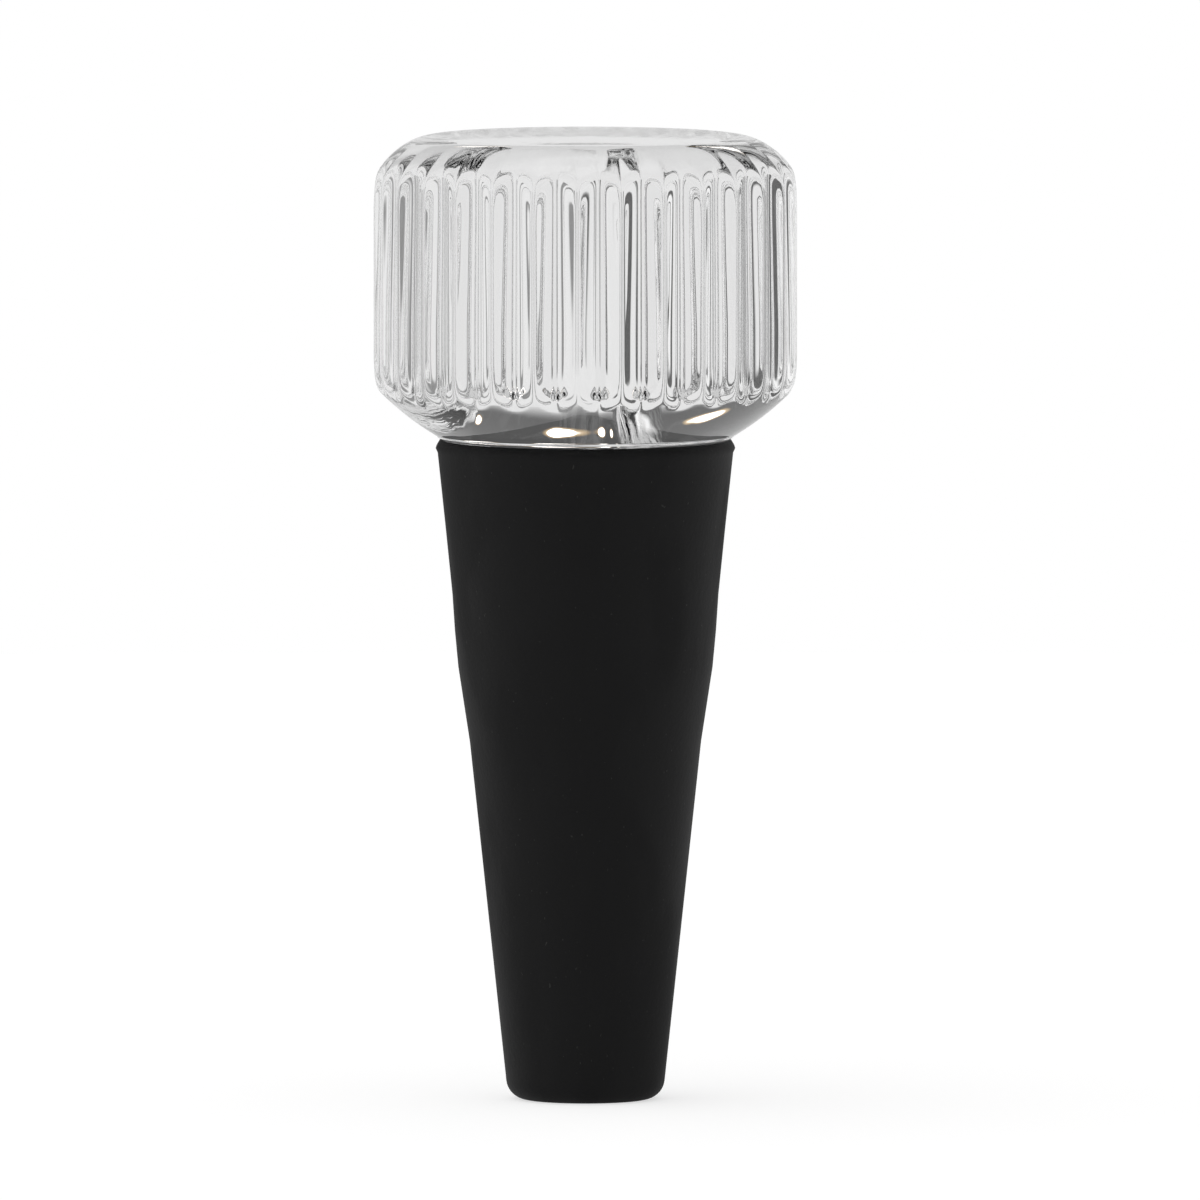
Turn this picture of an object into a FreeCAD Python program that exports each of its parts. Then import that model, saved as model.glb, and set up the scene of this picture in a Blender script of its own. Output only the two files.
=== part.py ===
"""Wine stopper: a solid clear glass head with thirty upright flutes, pushed into a tapered silicone plug.

Millimetres, +Z up. The origin is the centre of the plug's foot, where the stopper stands.
The head is one pressed glass piece with a peg below it. The plug is one moulded piece with a blind
socket for that peg and a small flared lip round its mouth. Its wall stands out over the peg's end.
"""

import math
import os

import FreeCAD
import Part

# plug
plug_height = 54.6
foot_radius = 6.38  # of the lower cone, carried down to the foot plane
foot_round = 1.7
foot_bevels = 2  # straight bevels that make up that round
lower_cone_radius = 9.55  # at the top of the lower cone, where the wall starts to stand out
swell_radius = 10.5  # level with the peg's end, where it stands out most
upper_cone_radius = 10.98  # at the foot of the upper cone
throat_radius = 12.2  # just under the lip
lip_radius = 12.36  # sharp outer corner of the lip
mouth_radius = 12.02  # outer edge of the flat that the head rests on
lip_drop = 0.72  # from the mouth down to the lip's corner
lip_under = 0.34  # from that corner down to the wall
swell_below = 7.0  # from the peg's end down to the top of the lower cone
swell_drop = 0.8  # from the peg's end down to where the wall stands out most
swell_above = 5.2  # from the peg's end up to the foot of the upper cone

# peg under the head, and its fit in the socket
peg_length = 18.0
peg_radius = 7.4
peg_root_chamfer = 0.5  # thicker corner where the peg leaves the head
peg_tip_chamfer = 1.2
peg_clearance = 0.05  # all round the peg
socket_end_gap = 0.4  # left under the peg's tip

# glass head
head_height = 25.1  # from the rim on the plug up to the polished top
head_radius = 17.5  # over the ridges between the flutes
top_radius = 13.25  # flat on top, up to its soft edge
crown_radius = 7.0  # upper part of the round shoulder, next to the flat
shoulder_radius = 3.8  # lower part, where the flutes run out
crown_angle = 40  # degrees above level of the outline's normal where those two meet
heel_radius = 2.8  # round heel below the flutes
belly_radius = 24.0  # shallow dome between the heel and the rim
rim_radius = 12.25  # widest part of the rim that stands on the plug
rim_chamfer = 0.3  # under the rim

# flutes
flute_count = 30
flute_depth = 0.72  # from the ridges to the floor of a flute
shoulder_allowance = 0.1  # how far the smooth shoulder and heel would stand outside the ridges
first_ridge_angle = -92.2  # degrees from +X, so that a ridge stands just left of the front

head_base = plug_height
head_top = head_base + head_height
peg_end = head_base - peg_length
axis = FreeCAD.Vector(0, 0, 1)


def point(radius, height):
    return FreeCAD.Vector(radius, 0, height)


def polar(radius, angle):
    """Point at an angle in degrees round the axis."""
    return FreeCAD.Vector(radius * math.cos(math.radians(angle)), radius * math.sin(math.radians(angle)), 0)


def line(start, end):
    return Part.LineSegment(start, end).toShape()


def arc_points(centre, radius, start_angle, end_angle, steps):
    """Points on an arc in the XZ plane, from one angle to another, in degrees from +X."""
    angles = [math.radians(start_angle + (end_angle - start_angle) * step / steps) for step in range(steps + 1)]
    return [centre + point(radius * math.cos(angle), radius * math.sin(angle)) for angle in angles]


def arc(centre, radius, start_angle, end_angle):
    return Part.Arc(*arc_points(centre, radius, start_angle, end_angle, 2)).toShape()


def polyline(*corners):
    return [line(start, end) for start, end in zip(corners, corners[1:])]


def revolved(edges):
    """Solid of revolution of an outline that starts and ends on the axis, with its gaps closed by lines."""
    outline = []
    for edge in edges:
        if outline:
            reached = outline[-1].valueAt(outline[-1].LastParameter)
            following = edge.valueAt(edge.FirstParameter)
            if not reached.isEqual(following, 1e-6):
                outline.append(line(reached, following))
        outline.append(edge)
    last = edges[-1].valueAt(edges[-1].LastParameter)
    first = edges[0].valueAt(edges[0].FirstParameter)
    outline.append(line(last, first))
    return Part.Face(Part.Wire(Part.__sortEdges__(outline))).revolve(FreeCAD.Vector(), axis, 360)


def peg_outline(clearance, end):
    """Chamfered root, side and chamfered end of the peg, or of its socket when a clearance is given."""
    radius = peg_radius + clearance
    root_chamfer = peg_root_chamfer + clearance
    return polyline(
        point(radius + root_chamfer, head_base),
        point(radius, head_base - root_chamfer),
        point(radius, end + peg_tip_chamfer),
        point(radius - peg_tip_chamfer, end),
        point(0, end),
    )


def head_blank():
    """The head with its peg, before it is fluted."""
    side = head_radius + shoulder_allowance
    crown = math.radians(crown_angle)
    shoulder_r = side - shoulder_radius
    crown_r = shoulder_r - (crown_radius - shoulder_radius) * math.cos(crown)
    crown_z = head_top - math.sqrt(crown_radius**2 - (top_radius - crown_r) ** 2)
    top_angle = math.degrees(math.acos((top_radius - crown_r) / crown_radius))
    shoulder_z = crown_z + (crown_radius - shoulder_radius) * math.sin(crown)

    rim_z = head_base + rim_chamfer
    belly_z = rim_z + math.sqrt(belly_radius**2 - rim_radius**2)
    heel_r = side - heel_radius
    heel_z = belly_z - math.sqrt((belly_radius - heel_radius) ** 2 - heel_r**2)
    heel_angle = math.degrees(math.atan2(heel_z - belly_z, heel_r))
    rim_angle = -math.degrees(math.acos(rim_radius / belly_radius))

    return revolved(
        [
            line(point(0, head_top), point(top_radius, head_top)),
            arc(point(crown_r, crown_z), crown_radius, top_angle, crown_angle),
            arc(point(shoulder_r, shoulder_z), shoulder_radius, crown_angle, 0),
            arc(point(heel_r, heel_z), heel_radius, 0, heel_angle),
            arc(point(0, belly_z), belly_radius, heel_angle, rim_angle),
            line(point(rim_radius, rim_z), point(rim_radius - rim_chamfer, head_base)),
            *peg_outline(0, peg_end),
        ]
    )


def fluted_prism():
    """Upright prism with a hollow arc for each flute, from one ridge to the next."""
    step = 360 / flute_count
    floor_radius = head_radius - flute_depth
    edges = []
    for index in range(flute_count):
        ridge = first_ridge_angle + index * step
        hollow = Part.Arc(
            polar(head_radius, ridge), polar(floor_radius, ridge + step / 2), polar(head_radius, ridge + step)
        )
        edges.append(hollow.toShape())
    section = Part.Face(Part.Wire(edges))
    section.translate(point(0, peg_end))
    return section.extrude(axis * (head_top - peg_end))


def glass_head():
    return head_blank().common(fluted_prism())


def silicone_plug():
    wall_top = plug_height - lip_drop - lip_under
    lower_cone_height = peg_end - swell_below
    side_angle = math.degrees(math.atan((lower_cone_radius - foot_radius) / lower_cone_height))
    foot_corner = foot_radius - foot_round / math.tan(math.radians(45 + side_angle / 2))

    return revolved(
        [
            *polyline(
                point(0, 0),
                *arc_points(point(foot_corner, foot_round), foot_round, -90, -side_angle, foot_bevels),
                point(lower_cone_radius, lower_cone_height),
                point(swell_radius, peg_end - swell_drop),
                point(upper_cone_radius, peg_end + swell_above),
                point(throat_radius, wall_top),
                point(lip_radius, wall_top + lip_under),
                point(mouth_radius, plug_height),
            ),
            *peg_outline(peg_clearance, peg_end - socket_end_gap),
        ]
    )


def main():
    os.makedirs("parts", exist_ok=True)
    for name, shape in {"glass_head": glass_head(), "silicone_plug": silicone_plug()}.items():
        solid = shape.Solids[0]
        solid.exportStep(f"parts/{name}.step")
        print(name, "valid", solid.isValid(), "solids", len(shape.Solids), "volume", round(solid.Volume, 1))


main()
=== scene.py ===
import math

import bpy
import numpy as np
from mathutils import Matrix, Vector


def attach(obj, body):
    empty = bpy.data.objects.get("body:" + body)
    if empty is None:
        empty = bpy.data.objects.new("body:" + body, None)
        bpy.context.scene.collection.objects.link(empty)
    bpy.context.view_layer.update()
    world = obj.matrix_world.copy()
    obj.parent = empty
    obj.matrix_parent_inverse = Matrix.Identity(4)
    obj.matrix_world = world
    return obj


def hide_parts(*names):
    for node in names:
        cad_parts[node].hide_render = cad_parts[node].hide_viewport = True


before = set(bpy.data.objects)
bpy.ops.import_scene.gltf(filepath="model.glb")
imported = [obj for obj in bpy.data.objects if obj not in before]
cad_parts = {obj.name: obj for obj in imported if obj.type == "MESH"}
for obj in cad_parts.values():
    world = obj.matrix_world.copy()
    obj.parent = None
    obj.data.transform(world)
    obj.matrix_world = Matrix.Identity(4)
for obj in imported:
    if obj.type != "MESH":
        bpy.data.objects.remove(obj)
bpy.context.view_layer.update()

mm = 0.001  # the outlines below are in millimetres, the scene in metres
tiny = 1e-4  # in millimetres, points of an outline nearer than this are one


# helpers for outlines, meshes and node trees

def arcPoints(centre, radius, start, end, count):
    # points of an arc in the outline's plane, angles in degrees above level
    turns = [math.radians(start + (end - start) * step / count) for step in range(count + 1)]
    return [(centre[0] + radius * math.cos(turn), centre[1] + radius * math.sin(turn)) for turn in turns]


def linePoints(start, end, count):
    return [(start[0] + (end[0] - start[0]) * step / count, start[1] + (end[1] - start[1]) * step / count)
            for step in range(count + 1)]


def joined(*runs):
    # one outline from several runs, without the points that two runs share
    outline = []
    for run in runs:
        for spot in run:
            if not outline or math.dist(outline[-1], spot) > tiny:
                outline.append(spot)
    return outline


def spunPiece(name, outline, columns):
    # a vertex is drawn out along the outline by extruding, then the outline is spun round the axis
    bpy.ops.object.select_all(action="DESELECT")
    bpy.ops.mesh.primitive_plane_add(size=mm, location=(0, 0, 0))
    piece = bpy.context.object
    piece.name = piece.data.name = name
    bpy.ops.object.mode_set(mode="EDIT")
    bpy.ops.mesh.select_mode(type="VERT")
    bpy.ops.mesh.select_all(action="SELECT")
    bpy.ops.mesh.merge(type="CENTER")
    spots = [Vector((radius * mm, 0, height * mm)) for radius, height in outline]
    bpy.ops.transform.translate(value=spots[0])
    for here, following in zip(spots, spots[1:]):
        bpy.ops.mesh.extrude_region_move(TRANSFORM_OT_translate={"value": following - here})
    bpy.ops.mesh.select_all(action="SELECT")
    bpy.ops.mesh.spin(steps=columns, angle=math.tau, center=(0, 0, 0), axis=(0, 0, 1))
    bpy.ops.mesh.select_all(action="SELECT")
    bpy.ops.mesh.remove_doubles(threshold=0.002 * mm)  # closes the seam and both ends on the axis
    bpy.ops.mesh.normals_make_consistent(inside=False)
    bpy.ops.object.mode_set(mode="OBJECT")
    bpy.ops.object.shade_smooth()
    return piece


def meshPoints(mesh):
    flat = np.empty(len(mesh.vertices) * 3)
    mesh.vertices.foreach_get("co", flat)
    return flat.reshape(-1, 3) / mm


def setMeshPoints(mesh, points):
    mesh.vertices.foreach_set("co", (points * mm).ravel())
    mesh.update()


def softLower(first, second, blend):
    # the lower of two surfaces, rounded where they meet
    near = np.clip(blend - np.abs(first - second), 0, None) / blend
    return np.minimum(first, second) - near * near * blend / 4


def shareBetween(heights, none, whole):
    # 0 at the first height and beyond it, 1 at the second and beyond it
    return np.clip((heights - none) / (whole - none), 0, 1)


def newMaterial(name):
    material = bpy.data.materials.new(name)
    material.use_nodes = True
    shader = material.node_tree.nodes["Principled BSDF"]
    return material, material.node_tree, shader


def addNode(tree, kind, inputs=None, **settings):
    node = tree.nodes.new(kind)
    for key, value in settings.items():
        setattr(node, key, value)
    for key, value in (inputs or {}).items():
        if isinstance(value, bpy.types.NodeSocket):
            tree.links.new(value, node.inputs[key])
        else:
            node.inputs[key].default_value = value
    return node


def mathNode(tree, operation, first, second=0.0, third=0.0):
    return addNode(tree, "ShaderNodeMath", {0: first, 1: second, 2: third}, operation=operation).outputs[0]


def mixNode(tree, share, first, second):
    # the first value where the share is 1, the second where it is 0
    return mathNode(tree, "MULTIPLY_ADD", share, mathNode(tree, "SUBTRACT", first, second), second)


def colourMix(tree, share, first, second):
    # the second colour where the share is 1
    return addNode(tree, "ShaderNodeMix", {0: share, 6: first, 7: second}, data_type="RGBA").outputs[2]


def rampNode(tree, value, low, high, outLow=0.0, outHigh=1.0):
    settings = {"Value": value, "From Min": low, "From Max": high, "To Min": outLow, "To Max": outHigh}
    return addNode(tree, "ShaderNodeMapRange", settings, interpolation_type="SMOOTHSTEP").outputs["Result"]


def noiseNode(tree, coordinates, scale, detail=2.0, stretch=(1, 1, 1)):
    # scale is in patches per metre, before the stretch
    mapped = addNode(tree, "ShaderNodeMapping", {"Vector": coordinates, "Scale": stretch}).outputs[0]
    settings = {"Vector": mapped, "Scale": scale, "Detail": detail}
    return addNode(tree, "ShaderNodeTexNoise", settings).outputs["Fac"]


def bumpNode(tree, height, distance, strength=1.0, **normal):
    settings = {"Height": height, "Distance": distance, "Strength": strength, **normal}
    return addNode(tree, "ShaderNodeBump", settings).outputs[0]


# glass head

headValues = {
    "base": 54.6,  # where it stands on the plug
    "top": 79.7,
    "ridgeRadius": 17.5,
    "allowance": 0.1,  # how far the round shoulder and heel would stand outside the ridges
    "topRadius": 13.25,  # of the flat, before its edge is softened
    "topRound": 4.5,  # radius of that soft edge
    "crownRadius": 7.0,
    "shoulderRadius": 3.8,
    "crownAngle": 40,  # above level, of the outline's normal where those two meet
    "heelRadius": 2.8,
    "bellyRadius": 24.0,
    "rimRadius": 12.25,
    "rimRound": 0.12,
    "rimTurn": 60,  # how far that goes round, in degrees
    "rimChamfer": 0.3,
    "pegRadius": 7.4,
    "pegChamfer": 0.5,
    "pegTip": 1.2,
    "pegLength": 18.0,
    "steps": {"flat": 5, "edge": 16, "crown": 24, "shoulder": 28, "side": 20, "heel": 24, "belly": 16,
              "rim": 3, "seat": 4, "root": 2, "peg": 5, "tip": 3},
    "flutes": 30,
    "fluteDepth": 0.72,
    "fluteCurve": 1.6,  # power of the hollow's section: more makes a flatter floor and steeper flanks
    "firstRidge": -92.2,
    "columns": 20,  # per flute
    "gather": 0.72,  # how far the columns are drawn towards the ridges
    "ridgeBlend": 0.4,  # rounding of the ridges
    "runOutBlend": 0.5,  # rounding where the flutes run out
    "scallop": 0.1,  # how deep the flutes still are above that, on the shoulder
    "scallopBelow": (64.6, 74.6),  # heights where it starts and where it is whole
    "scallopAbove": (79.6, 76.5),  # the same from above
    "pressedFrom": 15,  # radius from which the surface is pressed
    "crownFrom": (11, 75),  # smaller radius for what is above this height
}


def headArcs(values):
    # centres of the arcs from the crown down to the belly, and the angles where the belly starts and ends
    base, crown = values["base"], math.radians(values["crownAngle"])
    side = values["ridgeRadius"] + values["allowance"]
    shoulderR = side - values["shoulderRadius"]
    crownR = shoulderR - (values["crownRadius"] - values["shoulderRadius"]) * math.cos(crown)
    crownZ = values["top"] - math.sqrt(values["crownRadius"] ** 2 - (values["topRadius"] - crownR) ** 2)
    shoulderZ = crownZ + (values["crownRadius"] - values["shoulderRadius"]) * math.sin(crown)
    rimZ = base + values["rimChamfer"]
    bellyZ = rimZ + math.sqrt(values["bellyRadius"] ** 2 - values["rimRadius"] ** 2)
    heelR = side - values["heelRadius"]
    heelZ = bellyZ - math.sqrt((values["bellyRadius"] - values["heelRadius"]) ** 2 - heelR ** 2)
    heelAngle = math.degrees(math.atan2(heelZ - bellyZ, heelR))
    rimAngle = -math.degrees(math.acos(values["rimRadius"] / values["bellyRadius"]))
    return (crownR, crownZ), (shoulderR, shoulderZ), (heelR, heelZ), (0, bellyZ), heelAngle, rimAngle


def ridgeEnds(values):
    # height of the ridges' upper and lower ends, and the slope of the outline there
    shoulder, heel = headArcs(values)[1:3]
    ends = []
    for centre, radius, side in ((shoulder, values["shoulderRadius"], 1), (heel, values["heelRadius"], -1)):
        turn = math.acos((values["ridgeRadius"] - centre[0]) / radius)
        ends.append((centre[1] + side * radius * math.sin(turn), math.tan(turn)))
    return ends


def headOutline(values):
    top, base, steps = values["top"], values["base"], values["steps"]
    crown, shoulder, heel, belly, heelAngle, rimAngle = headArcs(values)
    side = shoulder[0] + values["shoulderRadius"]
    # the soft edge touches the flat and, from inside, the crown's arc
    rise = top - values["topRound"] - crown[1]
    run = math.sqrt((values["crownRadius"] - values["topRound"]) ** 2 - rise ** 2)
    roundR, roundAngle = crown[0] + run, math.degrees(math.atan2(rise, run))
    rimCentre = (values["rimRadius"] - values["rimRound"], base + values["rimChamfer"])
    seatR = values["rimRadius"] - values["rimChamfer"]
    pegR, pegEnd = values["pegRadius"], base - values["pegLength"]
    rootR, rootZ = pegR + values["pegChamfer"], base - values["pegChamfer"]
    tipR, tipZ = pegR - values["pegTip"], pegEnd + values["pegTip"]
    return joined(
        linePoints((0, top), (roundR, top), steps["flat"]),
        arcPoints((roundR, top - values["topRound"]), values["topRound"], 90, roundAngle, steps["edge"]),
        arcPoints(crown, values["crownRadius"], roundAngle, values["crownAngle"], steps["crown"]),
        arcPoints(shoulder, values["shoulderRadius"], values["crownAngle"], 0, steps["shoulder"]),
        linePoints((side, shoulder[1]), (side, heel[1]), steps["side"]),
        arcPoints(heel, values["heelRadius"], 0, heelAngle, steps["heel"]),
        arcPoints(belly, values["bellyRadius"], heelAngle, rimAngle, steps["belly"]),
        arcPoints(rimCentre, values["rimRound"], 0, -values["rimTurn"], steps["rim"]),
        linePoints((seatR, base), (rootR, base), steps["seat"]),
        linePoints((rootR, base), (pegR, rootZ), steps["root"]),
        linePoints((pegR, rootZ), (pegR, tipZ), steps["peg"]),
        linePoints((pegR, tipZ), (tipR, pegEnd), steps["tip"]),
        linePoints((tipR, pegEnd), (0, pegEnd), steps["tip"]),
    )


def pressFlutes(piece, values):
    points = meshPoints(piece.data)
    heights = points[:, 2]
    radius = np.hypot(points[:, 0], points[:, 1])
    step = math.tau / values["flutes"]
    turn = np.arctan2(points[:, 1], points[:, 0]) / step
    flute = np.floor(turn + 1e-6)  # a column on a ridge starts the flute that follows it
    part = np.clip(turn - flute, 0, 1)  # 0 and 1 on the ridges, a half in the hollow
    part = part - values["gather"] * np.sin(math.tau * part) / math.tau

    depth = values["fluteDepth"] + values["ridgeBlend"] / 4  # before the ridges are rounded
    floor = values["ridgeRadius"] - values["fluteDepth"]
    fromMiddle = np.abs(2 * part - 1)
    thisFlute = floor + depth * fromMiddle ** values["fluteCurve"]
    nextFlute = floor + depth * (2 - fromMiddle) ** values["fluteCurve"]
    fluted = softLower(thisFlute, nextFlute, values["ridgeBlend"])

    # between the ridges' ends the round shoulder and heel run on as straight slopes, clear of the ridges
    (upperEnd, upperSlope), (lowerEnd, lowerSlope) = ridgeEnds(values)
    clear = np.minimum((upperEnd - heights) * upperSlope, (heights - lowerEnd) * lowerSlope)
    blank = np.where(radius > values["ridgeRadius"], values["ridgeRadius"] + clear, radius)
    pressed = softLower(blank, fluted, values["runOutBlend"])

    above = shareBetween(heights, *values["scallopAbove"])
    below = shareBetween(heights, *values["scallopBelow"])
    shape = (values["ridgeRadius"] - fluted) / values["fluteDepth"]
    pressed = pressed - values["scallop"] * shape * above * below

    crownR, crownZ = values["crownFrom"]
    outer = (radius > values["pressedFrom"]) | ((radius > crownR) & (heights > crownZ))
    radius = np.where(outer, pressed, radius)
    angle = (flute + part) * step + math.radians(values["firstRidge"])
    points[:, 0], points[:, 1] = radius * np.cos(angle), radius * np.sin(angle)
    setMeshPoints(piece.data, points)


glassHead = spunPiece("glassHead", headOutline(headValues), headValues["flutes"] * headValues["columns"])
pressFlutes(glassHead, headValues)
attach(glassHead, "root")
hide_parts("glass_head")
print("glass head made", len(glassHead.data.polygons))


glassValues = {
    "ior": 1.52,
    "waveScale": 180,  # faint unevenness of the whole surface
    "waveStretch": (1, 1, 0.35),
    "waveHeight": 0.00002,
    "streaks": 22,  # how finely the faint lines spread over the flat top
    "streakSlope": 0.005,  # their height as a share of the distance from the axis
    "streakFrom": (0.0794, 0.0796),  # heights between which they come in
    "streakEdge": (0.0105, 0.0128),  # radii between which they fade out
}


def glassMaterial(values):
    material, tree, shader = newMaterial("pressedClearGlass")
    place = addNode(tree, "ShaderNodeTexCoord").outputs["Object"]
    wave = noiseNode(tree, place, values["waveScale"], 2, values["waveStretch"])
    uneven = bumpNode(tree, wave, values["waveHeight"])
    # faint lines that spread from the middle of the flat top
    axes = addNode(tree, "ShaderNodeSeparateXYZ", {0: place}).outputs
    level = addNode(tree, "ShaderNodeVectorMath", {0: place, 1: (1, 1, 0)}, operation="MULTIPLY").outputs[0]
    outward = addNode(tree, "ShaderNodeVectorMath", {0: level}, operation="NORMALIZE").outputs[0]
    streaks = noiseNode(tree, outward, values["streaks"], 1)
    fromAxis = addNode(tree, "ShaderNodeVectorMath", {0: level}, operation="LENGTH").outputs["Value"]
    onTop = mathNode(tree, "MULTIPLY", rampNode(tree, axes[2], *values["streakFrom"]),
                     rampNode(tree, fromAxis, *values["streakEdge"], 1, 0))
    raised = mathNode(tree, "MULTIPLY", mathNode(tree, "MULTIPLY", streaks, fromAxis), onTop)
    lines = bumpNode(tree, raised, values["streakSlope"], Normal=uneven)
    tree.links.new(lines, shader.inputs["Normal"])
    shader.inputs["Base Color"].default_value = (1, 1, 1, 1)
    shader.inputs["Transmission Weight"].default_value = 1
    shader.inputs["Roughness"].default_value = 0
    shader.inputs["IOR"].default_value = values["ior"]
    return material


glassHead.data.materials.append(glassMaterial(glassValues))


# silicone plug

plugValues = {
    "top": 54.58,  # just under the glass that rests on it
    "footRadius": 6.38,  # of the lowest cone, carried down to the foot
    "footRound": 1.7,
    # radius and height of the points of the wall, from the lowest cone up to the lip
    "wall": ((9.55, 29.6), (9.98, 32.4), (10.5, 35.8), (10.78, 38.8), (10.98, 41.8), (11.56, 47.5),
             (12.2, 53.54)),
    "lip": ((12.36, 53.88), (12.3, 54.1), (12.02, 54.58)),
    "socketRadius": 7.45,
    "socketChamfer": 0.55,
    "socketTip": 1.2,
    "socketEnd": 36.2,
    "steps": {"foot": 4, "footRound": 10, "cone": 14, "wall": 4},
    "columns": 160,
}


def plugOutline(values):
    foot, footRound = values["footRadius"], values["footRound"]
    wall, steps = values["wall"], values["steps"]
    coneRadius, coneHeight = wall[0]
    sideAngle = math.degrees(math.atan((coneRadius - foot) / coneHeight))
    footCorner = foot - footRound / math.tan(math.radians(45 + sideAngle / 2))
    footArc = arcPoints((footCorner, footRound), footRound, -90, -sideAngle, steps["footRound"])
    top, chamfer, tip = values["top"], values["socketChamfer"], values["socketTip"]
    socketR, socketEnd = values["socketRadius"], values["socketEnd"]
    return joined(
        linePoints((0, 0), (footCorner, 0), steps["foot"]),
        footArc,
        linePoints(footArc[-1], wall[0], steps["cone"]),
        *[linePoints(low, high, steps["wall"]) for low, high in zip(wall, wall[1:])],
        values["lip"],
        [(socketR + chamfer, top), (socketR, top - chamfer)],
        [(socketR, socketEnd + tip), (socketR - tip, socketEnd), (0, socketEnd)],
    )


siliconePlug = spunPiece("siliconePlug", plugOutline(plugValues), plugValues["columns"])
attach(siliconePlug, "root")
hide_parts("silicone_plug")
print("silicone plug made", len(siliconePlug.data.polygons))


siliconeValues = {
    "clean": (0.004, 0.004, 0.0043, 1),
    "dusty": (0.008, 0.008, 0.0083, 1),  # under a film of dust
    "film": 140,  # patches of it per metre
    "filmStretch": (1, 1, 0.4),
    "filmFrom": (0.35, 0.7),  # levels of the noise between which the film comes in
    "lint": (0.024, 0.024, 0.023, 1),  # specks that cling to it
    "lintScale": 3600,
    "lintStretch": (1, 1, 0.6),
    "lintFrom": (0.74, 0.8),
    "roughness": (0.62, 0.78),  # clean and dusty
    "specular": 0.2,
    "grain": 2600,
    "grainHeight": 0.00004,
    "grainStrength": 0.6,
}


def siliconeMaterial(values):
    material, tree, shader = newMaterial("mattBlackSilicone")
    place = addNode(tree, "ShaderNodeTexCoord").outputs["Object"]
    film = noiseNode(tree, place, values["film"], 3, values["filmStretch"])
    film = rampNode(tree, film, *values["filmFrom"])
    lint = noiseNode(tree, place, values["lintScale"], 1, values["lintStretch"])
    lint = rampNode(tree, lint, *values["lintFrom"])
    colour = colourMix(tree, lint, colourMix(tree, film, values["clean"], values["dusty"]), values["lint"])
    tree.links.new(colour, shader.inputs["Base Color"])
    tree.links.new(rampNode(tree, film, 0, 1, *values["roughness"]), shader.inputs["Roughness"])
    grain = noiseNode(tree, place, values["grain"], 3)
    bump = bumpNode(tree, grain, values["grainHeight"], values["grainStrength"])
    tree.links.new(bump, shader.inputs["Normal"])
    shader.inputs["Specular IOR Level"].default_value = values["specular"]
    return material


siliconePlug.data.materials.append(siliconeMaterial(siliconeValues))


# floor, studio and camera

floorValues = {
    "size": 1.0,
    "colour": (0.5, 0.5, 0.5, 1),
    "glow": 0.62,  # added for the camera
    "glowInGlass": 0.37,  # added where it shows in glass or gloss
}


def makeFloor(values):
    bpy.ops.object.select_all(action="DESELECT")
    bpy.ops.mesh.primitive_circle_add(vertices=64, radius=values["size"] / 2, fill_type="NGON")
    floor = bpy.context.object
    floor.name = "studioFloor"
    material = bpy.data.materials.new("paleFloor")
    material.use_nodes = True
    tree = material.node_tree
    tree.nodes.clear()
    path = addNode(tree, "ShaderNodeLightPath").outputs
    through = mathNode(tree, "MAXIMUM", path["Is Glossy Ray"], path["Is Transmission Ray"])
    glow = mathNode(tree, "MULTIPLY_ADD", path["Is Camera Ray"], values["glow"],
                    mathNode(tree, "MULTIPLY", through, values["glowInGlass"]))
    diffuse = addNode(tree, "ShaderNodeBsdfDiffuse", {"Color": values["colour"]})
    emission = addNode(tree, "ShaderNodeEmission", {"Strength": glow})
    both = addNode(tree, "ShaderNodeAddShader", {0: diffuse.outputs[0], 1: emission.outputs[0]})
    output = addNode(tree, "ShaderNodeOutputMaterial")
    tree.links.new(both.outputs[0], output.inputs["Surface"])
    floor.data.materials.append(material)


# all angles are in degrees: azimuth from straight behind the stopper to the right, elevation above level
studioValues = {
    "ambient": 0.8,  # light on matt surfaces
    "fromLeft": 0.45,  # how much more of it comes from the left
    "backdrop": 0.8,  # brightness of the pale backdrop that the glass shows
    "backdropEdges": (-22, 20),  # azimuths
    "edgeSoftness": 3,
    "beside": (0.1, 0.3),  # share of its brightness beyond its left and right edge
    "backdropTop": (23, 28),  # elevations between which it fades out
    "dark": 0.1,  # above the backdrop
    "room": 0.62,  # at the same heights behind the camera
    "roomFrom": (50, 90),  # azimuths between which the room comes in, on either side
    "overhead": 0.9,  # added high up
    "overheadFrom": (62, 74),
    "walls": ((-95, 57, 0.95), (90, 60, 0.82)),  # beside the camera: azimuth, half width, brightness
    "wallSoftness": 4,
    "wallTop": (30, 36),
    # azimuth, elevation, half width, half height and brightness of each lamp
    "lamps": ((17, 31.7, 6.5, 1.7, 4.0), (-9.5, 32.3, 3, 1.5, 2.5)),
    "lampEdge": (0.8, 1.1),  # where a lamp fades out, as a share of its half size
    "halo": (1.0, 0.7, 0.35),  # colour round a lamp's edge, in place of the colours that real glass spreads
    "haloEdge": (1.0, 1.4),
    "haloStrength": 0.6,
}


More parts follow.
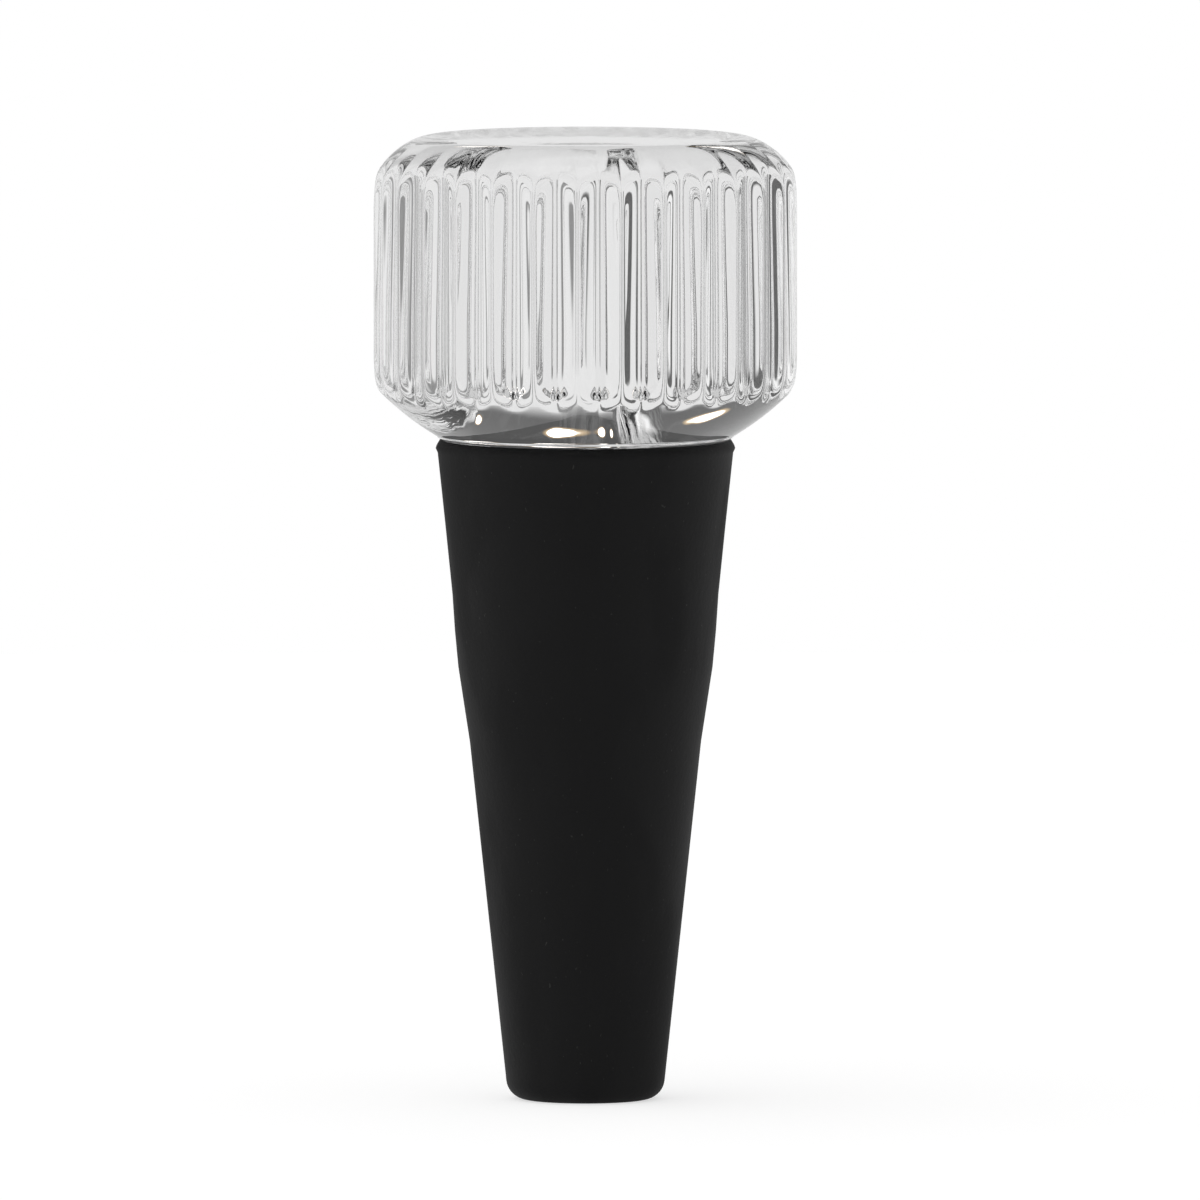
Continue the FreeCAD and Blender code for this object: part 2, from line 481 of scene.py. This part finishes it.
def roomBrightness(tree, values, azimuth, elevation):
    # backdrop low down behind the stopper, darkness above it, the room and two pale walls beside the camera
    left, right = values["backdropEdges"]
    soft, full = values["edgeSoftness"], values["backdrop"]
    besideLeft, besideRight = values["beside"]
    turned = mathNode(tree, "ABSOLUTE", azimuth)
    low = rampNode(tree, elevation, *values["backdropTop"], 1, 0)
    leftPart = rampNode(tree, azimuth, left - soft, left + soft, full * besideLeft, full)
    rightPart = rampNode(tree, azimuth, right - soft, right + soft, 1, besideRight)
    high = rampNode(tree, turned, *values["roomFrom"], values["dark"], values["room"])
    brightness = mixNode(tree, low, mathNode(tree, "MULTIPLY", leftPart, rightPart), high)
    soft = values["wallSoftness"]
    for middle, half, strength in values["walls"]:
        away = mathNode(tree, "ABSOLUTE", mathNode(tree, "SUBTRACT", azimuth, middle))
        wall = mathNode(tree, "MULTIPLY", rampNode(tree, away, half - soft, half + soft, strength, 0),
                        rampNode(tree, elevation, *values["wallTop"], 1, 0))
        brightness = mathNode(tree, "MAXIMUM", brightness, wall)
    overhead = rampNode(tree, elevation, *values["overheadFrom"], 0, values["overhead"])
    return mathNode(tree, "ADD", brightness, overhead)


def makeWorld(values):
    world = bpy.data.worlds.new("studio")
    bpy.context.scene.world = world
    world.use_nodes = True
    tree = world.node_tree
    tree.nodes.clear()
    direction = addNode(tree, "ShaderNodeTexCoord").outputs["Generated"]
    axes = addNode(tree, "ShaderNodeSeparateXYZ", {0: direction}).outputs
    degrees = 180 / math.pi
    elevation = mathNode(tree, "MULTIPLY", mathNode(tree, "ARCSINE", axes[2]), degrees)
    azimuth = mathNode(tree, "MULTIPLY", mathNode(tree, "ARCTAN2", axes[0], axes[1]), degrees)

    brightness = roomBrightness(tree, values, azimuth, elevation)
    halo = 0.0
    for middle, height, halfWidth, halfHeight, strength in values["lamps"]:
        narrowing = math.cos(math.radians(height))
        across = mathNode(tree, "SUBTRACT", azimuth, middle)
        across = mathNode(tree, "MULTIPLY", across, narrowing / halfWidth)
        up = mathNode(tree, "SUBTRACT", elevation, height)
        up = mathNode(tree, "MULTIPLY", up, 1 / halfHeight)
        squares = mathNode(tree, "ADD", mathNode(tree, "MULTIPLY", across, across),
                           mathNode(tree, "MULTIPLY", up, up))
        away = mathNode(tree, "SQRT", squares)
        lamp = rampNode(tree, away, *values["lampEdge"], strength, 0)
        brightness = mathNode(tree, "ADD", brightness, lamp)
        ring = rampNode(tree, away, *values["haloEdge"], values["haloStrength"], 0)
        halo = mathNode(tree, "ADD", ring, halo)

    # matt surfaces get a soft light, the camera sees white, and glass and gloss show the room
    path = addNode(tree, "ShaderNodeLightPath").outputs
    fromLeft = -values["ambient"] * values["fromLeft"]
    ambient = mathNode(tree, "MULTIPLY_ADD", axes[0], fromLeft, values["ambient"])
    channels = {}
    for channel, tint in enumerate(values["halo"]):
        strength = mathNode(tree, "MULTIPLY_ADD", halo, tint, brightness)
        strength = mixNode(tree, path["Is Diffuse Ray"], ambient, strength)
        channels[channel] = mixNode(tree, path["Is Camera Ray"], 1.0, strength)
    colour = addNode(tree, "ShaderNodeCombineXYZ", channels).outputs[0]
    background = addNode(tree, "ShaderNodeBackground", {"Color": colour, "Strength": 1.0})
    output = addNode(tree, "ShaderNodeOutputWorld")
    tree.links.new(background.outputs[0], output.inputs["Surface"])


cameraValues = {
    "elevation": 4.15,  # degrees above level
    "distance": 3.0,
    "target": (0.0012, 0, 0.0413),
    "frameWidth": 0.09906,  # of the photograph's frame at the stopper
    "sensor": 36,
    "clip": (0.5, 10),
}


def makeCamera(values):
    elevation = math.radians(values["elevation"])
    data = bpy.data.cameras.new("camera")
    camera = bpy.data.objects.new("camera", data)
    bpy.context.collection.objects.link(camera)
    back = Vector((0, -math.cos(elevation), math.sin(elevation)))
    camera.location = Vector(values["target"]) + back * values["distance"]
    camera.rotation_euler = (-back).to_track_quat("-Z", "Y").to_euler()
    data.sensor_width = values["sensor"]
    data.lens = values["sensor"] * values["distance"] / values["frameWidth"]
    data.clip_start, data.clip_end = values["clip"]
    bpy.context.scene.camera = camera


makeFloor(floorValues)
makeWorld(studioValues)
makeCamera(cameraValues)
bpy.context.scene.view_settings.view_transform = "Standard"
print("studio made")
